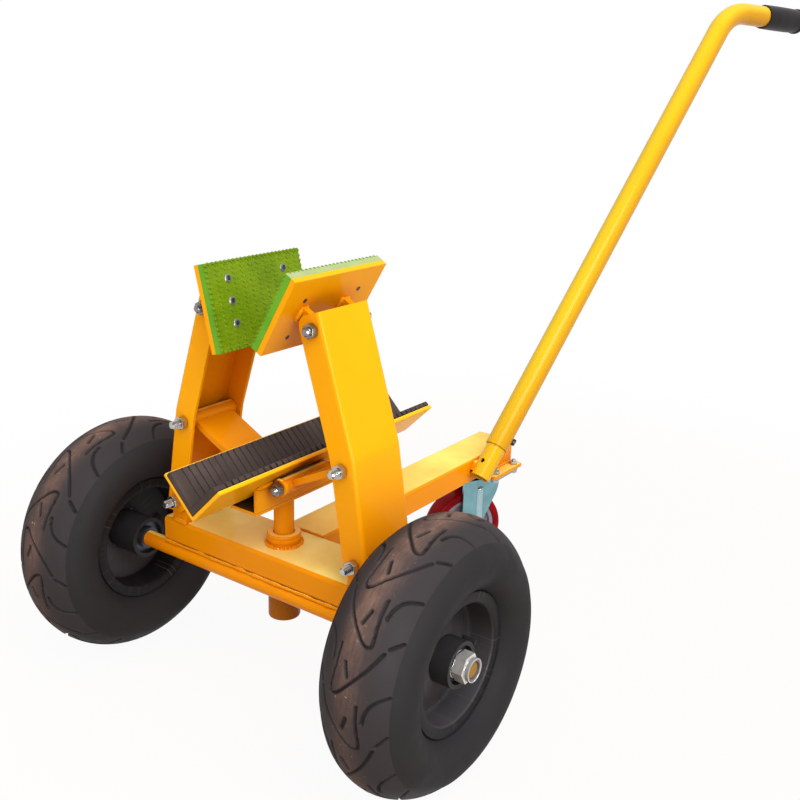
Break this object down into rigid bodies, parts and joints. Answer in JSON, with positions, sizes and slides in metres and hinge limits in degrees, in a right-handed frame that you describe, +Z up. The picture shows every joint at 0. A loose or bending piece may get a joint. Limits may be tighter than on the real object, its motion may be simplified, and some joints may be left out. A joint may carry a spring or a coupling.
{
  "type": "slab dolly",
  "caption": "Three-wheeled dolly that carries a stone slab on edge in a rubber-lined trough, whose weight closes padded jaws on it, with a bent pull handle.",
  "frame": {"origin": "on the floor under the middle of the object's overall length and width", "axes": "+Z up, +Y back along the tongue to the handle's grip, +X along the axle to the side on which the handle's socket stands"},
  "size_m": [0.7262, 1.617, 1.0629],
  "materials": {
    "yellow_paint": "gloss",
    "zinc_plate": "satin",
    "plain_steel": "satin",
    "black_steel": "satin",
    "nylon": "matte",
    "bush_bronze": "satin",
    "grip_rubber": "matte",
    "ribbed_rubber": "matte",
    "valve_rubber": "matte",
    "tyre_rubber": "matte",
    "rim_black": "satin",
    "green_polyurethane": "satin",
    "red_polyurethane": "gloss",
    "grey_core": "satin"
  },
  "bodies": {
    "chassis": {"cross_beam": "yellow_paint", "beam_end_caps": "yellow_paint", "tongue": "yellow_paint", "tongue_end_cap": "yellow_paint", "axle_bar": "yellow_paint", "axle_collars": "plain_steel", "axle_washers": "zinc_plate", "axle_nuts": "zinc_plate", "axle_nut_inserts": "nylon", "guide_tube": "yellow_paint", "guide_collar": "yellow_paint", "guide_bush": "bush_bronze", "guide_plug": "yellow_paint", "return_spring": "plain_steel", "base_lugs": "yellow_paint", "base_pivot_bolts": "zinc_plate", "caster_mount_plate": "yellow_paint", "handle_socket": "yellow_paint", "socket_saddle": "yellow_paint", "handle_tube": "yellow_paint", "handle_grip": "grip_rubber", "handle_lock_bolt": "black_steel", "caster_top_plate": "zinc_plate", "caster_plate_bolts": "zinc_plate", "caster_kingpin": "zinc_plate"},
    "right_wheel": {"right_tyre": "tyre_rubber", "right_rim": "rim_black", "right_hub": "rim_black", "right_bearings": "plain_steel", "right_valve": "valve_rubber"},
    "left_wheel": {"left_tyre": "tyre_rubber", "left_rim": "rim_black", "left_hub": "rim_black", "left_bearings": "plain_steel", "left_valve": "valve_rubber"},
    "caster_swivel": {"caster_fork": "zinc_plate", "caster_race": "zinc_plate", "caster_axle_bolt": "zinc_plate"},
    "caster_wheel": {"caster_core": "grey_core", "caster_tread": "red_polyurethane", "caster_bearings": "plain_steel"},
    "cradle": {"cradle_channel": "yellow_paint", "cradle_post": "yellow_paint", "post_ring": "bush_bronze", "trough": "yellow_paint", "trough_pads": "ribbed_rubber", "link_bolts": "zinc_plate"},
    "right_link": {"right_link": "yellow_paint"},
    "left_link": {"left_link": "yellow_paint"},
    "right_arm": {"right_arm": "yellow_paint", "right_arm_bolts": "zinc_plate"},
    "left_arm": {"left_arm": "yellow_paint", "left_arm_bolts": "zinc_plate"},
    "right_jaw": {"right_jaw_plate": "yellow_paint", "right_jaw_pad": "green_polyurethane", "right_pad_screws": "zinc_plate"},
    "left_jaw": {"left_jaw_plate": "yellow_paint", "left_jaw_pad": "green_polyurethane", "left_pad_screws": "zinc_plate"}
  },
  "joints": [
    {"name": "cradle_drop", "type": "slide", "parent": "chassis", "child": "cradle", "axis": [0, 0, -1], "range_m": [0, 0.02], "stiffness_N_per_m": 17000, "springref_m": -0.0095, "deforming": ["return_spring"]},
    {"name": "right_wheel_spin", "type": "hinge", "parent": "chassis", "child": "right_wheel", "pos_m": [0.296, -0.62105, 0.1875], "axis": [1, 0, 0], "continuous": true},
    {"name": "left_wheel_spin", "type": "hinge", "parent": "chassis", "child": "left_wheel", "pos_m": [-0.296, -0.62105, 0.1875], "axis": [1, 0, 0], "continuous": true},
    {"name": "caster_swivel", "type": "hinge", "parent": "chassis", "child": "caster_swivel", "pos_m": [0, -0.01505, 0.1765], "axis": [0, 0, 1], "continuous": true},
    {"name": "caster_wheel_spin", "type": "hinge", "parent": "caster_swivel", "child": "caster_wheel", "pos_m": [-0.01847, -0.05053, 0.075], "axis": [0.887, -0.4617, 0], "continuous": true},
    {"name": "right_arm_swing", "type": "hinge", "parent": "chassis", "child": "right_arm", "pos_m": [0.172, -0.57805, 0.2765], "axis": [0, -1, 0], "range_deg": [0, 4.6]},
    {"name": "right_link_swing", "type": "hinge", "parent": "cradle", "child": "right_link", "pos_m": [0.04, -0.57805, 0.353], "axis": [0, -1, 0], "range_deg": [0, 9.7]},
    {"name": "right_jaw_tilt", "type": "hinge", "parent": "right_arm", "child": "right_jaw", "pos_m": [0.0985, -0.57805, 0.5875], "axis": [0, -1, 0], "range_deg": [-5, 40]},
    {"name": "left_arm_swing", "type": "hinge", "parent": "chassis", "child": "left_arm", "pos_m": [-0.172, -0.57805, 0.2765], "axis": [0, 1, 0], "range_deg": [0, 4.6]},
    {"name": "left_link_swing", "type": "hinge", "parent": "cradle", "child": "left_link", "pos_m": [-0.04, -0.57805, 0.353], "axis": [0, 1, 0], "range_deg": [0, 9.7]},
    {"name": "left_jaw_tilt", "type": "hinge", "parent": "left_arm", "child": "left_jaw", "pos_m": [-0.0985, -0.57805, 0.5875], "axis": [0, 1, 0], "range_deg": [-20.5, 24.5]}
  ],
  "couplings": [
    {"joint": "right_arm_swing", "follows": "cradle_drop", "rad_per_m": 3.9968},
    {"joint": "right_link_swing", "follows": "cradle_drop", "rad_per_m": 8.4317},
    {"joint": "left_arm_swing", "follows": "cradle_drop", "rad_per_m": 3.9968},
    {"joint": "left_link_swing", "follows": "cradle_drop", "rad_per_m": 8.4317}
  ]
}
